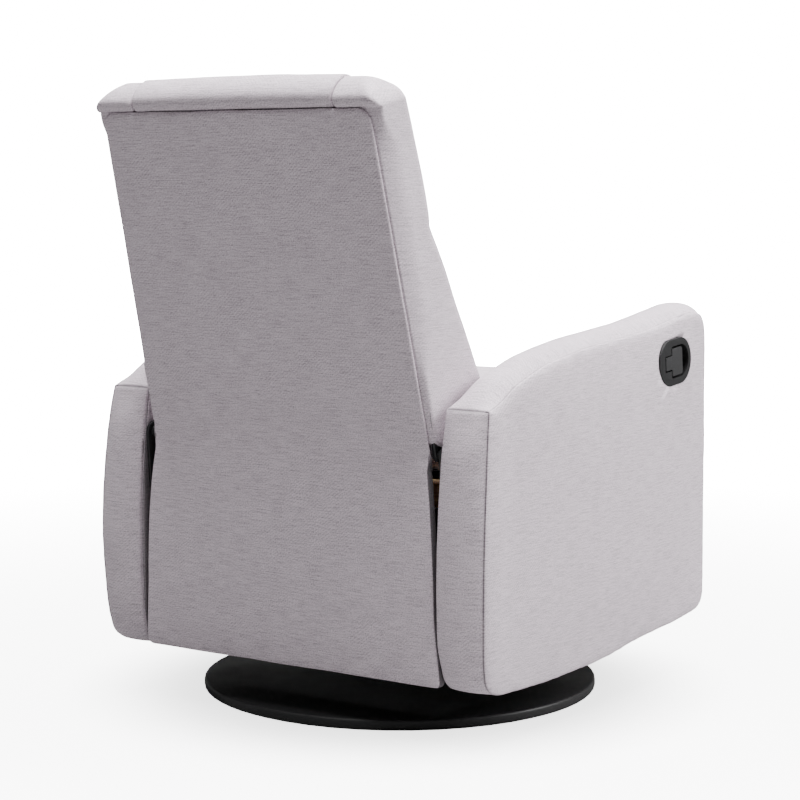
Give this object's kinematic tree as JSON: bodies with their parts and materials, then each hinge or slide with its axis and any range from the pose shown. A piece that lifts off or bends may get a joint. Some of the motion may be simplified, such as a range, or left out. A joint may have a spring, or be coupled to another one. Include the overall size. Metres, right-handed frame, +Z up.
{
  "type": "swivel glider recliner",
  "caption": "Upholstered nursery armchair that swivels and glides on a round floor disc, with a reclining back, a fold-out footrest and a release handle in the arm.",
  "frame": {"origin": "centre of the floor pad's underside, on the floor, where the swivel axis meets it", "axes": "+Z up along the swivel axis, -Y the way the sitter faces, +X to the sitter's left, so the release handle is on the -X side"},
  "size_m": [0.7956, 0.926, 1.0555],
  "materials": {
    "upholstery": "light grey woven fabric with a slub",
    "base_disc": "board with a matte black coating",
    "floor_pad": "matte",
    "black_steel": "satin black powder coat",
    "zinc_steel": "satin zinc plate",
    "spring_steel": "satin oiled wire",
    "frame_wood": "raw plywood and softwood",
    "handle_plastic": "dark grey, fine grain",
    "cable_sheath": "matte black sheath"
  },
  "bodies": {
    "base": {"floor_pad": "floor_pad", "base_disc": "base_disc", "spindle_post": "zinc_steel", "bearing_lower_race": "zinc_steel"},
    "turntable": {"bearing_upper_race": "zinc_steel", "turntable_frame": "black_steel", "glide_bracket_left": "black_steel", "glide_bracket_right": "black_steel"},
    "rear_links": {"glide_link_rear_left": "zinc_steel", "glide_link_rear_right": "zinc_steel"},
    "front_links": {"glide_link_front_left": "zinc_steel", "glide_link_front_right": "zinc_steel"},
    "chassis": {"glide_rail_left": "black_steel", "glide_rail_right": "black_steel", "cross_tube_front": "black_steel", "cross_tube_rear": "black_steel", "mechanism_plate_left": "black_steel", "mechanism_plate_right": "black_steel", "seat_rail_front": "frame_wood", "seat_rail_rear": "frame_wood", "seat_rail_left": "frame_wood", "seat_rail_right": "frame_wood", "front_apron": "upholstery", "seat_spring_1": "spring_steel", "seat_spring_2": "spring_steel", "seat_spring_3": "spring_steel", "seat_spring_4": "spring_steel", "seat_cushion": "upholstery", "arm_cover_left": "upholstery", "arm_cover_right": "upholstery", "arm_board_left": "frame_wood", "arm_board_right": "frame_wood", "handle_bezel": "handle_plastic", "handle_pin": "zinc_steel", "release_cable": "cable_sheath", "lower_back_panel": "upholstery", "back_crease_strip": "upholstery", "back_hinge_plate_left": "black_steel", "back_hinge_plate_right": "black_steel"},
    "handle": {"handle_paddle": "handle_plastic"},
    "release": {"release_pawl": "zinc_steel"},
    "back": {"back_rear_panel": "upholstery", "back_board": "frame_wood", "back_bracket_left": "black_steel", "back_bracket_right": "black_steel", "back_lumbar_pillow": "upholstery", "back_head_pillow": "upholstery", "back_bolster_left": "upholstery", "back_bolster_right": "upholstery"},
    "fold_1": {"footrest_link_1_left": "zinc_steel", "footrest_link_1_right": "zinc_steel", "torque_tube": "black_steel"},
    "fold_2": {"footrest_link_2_left": "zinc_steel", "footrest_link_2_right": "zinc_steel"},
    "fold_3": {"footrest_link_3_left": "zinc_steel", "footrest_link_3_right": "zinc_steel", "footrest_board": "frame_wood", "footrest_pad": "upholstery"},
    "fold_4": {"footrest_link_4_left": "zinc_steel", "footrest_link_4_right": "zinc_steel"}
  },
  "joints": [
    {"name": "swivel", "type": "hinge", "parent": "base", "child": "turntable", "pos_m": [0, 0, 0.05], "axis": [0, 0, 1], "continuous": true},
    {"name": "glide", "type": "hinge", "parent": "turntable", "child": "rear_links", "pos_m": [0, 0.12, 0.235], "axis": [1, 0, 0], "range_deg": [-22, 22]},
    {"name": "glide_level", "type": "hinge", "parent": "rear_links", "child": "chassis", "pos_m": [0, 0.12, 0.095], "axis": [1, 0, 0], "range_deg": [-22, 22]},
    {"name": "glide_front", "type": "hinge", "parent": "turntable", "child": "front_links", "pos_m": [0, -0.12, 0.235], "axis": [1, 0, 0], "range_deg": [-22, 22]},
    {"name": "recline", "type": "hinge", "parent": "chassis", "child": "back", "pos_m": [0, 0.30999, 0.46187], "axis": [-1, 0, 0], "range_deg": [0, 35], "deforming": ["back_crease_strip"]},
    {"name": "footrest", "type": "hinge", "parent": "chassis", "child": "fold_1", "pos_m": [0, -0.303, 0.335], "axis": [-1, 0, 0], "range_deg": [0, 72]},
    {"name": "fold_2", "type": "hinge", "parent": "fold_1", "child": "fold_2", "pos_m": [0, -0.32961, 0.22827], "axis": [-1, 0, 0], "range_deg": [-144, 0]},
    {"name": "fold_3", "type": "hinge", "parent": "fold_2", "child": "fold_3", "pos_m": [0, -0.32577, 0.3382], "axis": [-1, 0, 0], "range_deg": [0, 144]},
    {"name": "fold_4", "type": "hinge", "parent": "fold_1", "child": "fold_4", "pos_m": [0, -0.35622, 0.12154], "axis": [-1, 0, 0], "range_deg": [-144, 0]},
    {"name": "handle_pull", "type": "hinge", "parent": "chassis", "child": "handle", "pos_m": [-0.3895, -0.24812, 0.5698], "axis": [0, -0.0872, -0.9962], "range_deg": [0, 28], "stiffness_Nm_per_rad": 0.3, "springref_deg": -11.46},
    {"name": "pawl_release", "type": "hinge", "parent": "chassis", "child": "release", "pos_m": [-0.197, -0.246, 0.33], "axis": [-1, 0, 0], "range_deg": [0, 12]}
  ],
  "couplings": [
    {"joint": "glide_level", "follows": "glide", "ratio": -1},
    {"joint": "glide_front", "follows": "glide", "ratio": 1},
    {"joint": "fold_2", "follows": "footrest", "ratio": -2},
    {"joint": "fold_3", "follows": "footrest", "ratio": 2},
    {"joint": "fold_4", "follows": "footrest", "ratio": -2},
    {"joint": "pawl_release", "follows": "handle_pull", "ratio": 0.35}
  ]
}
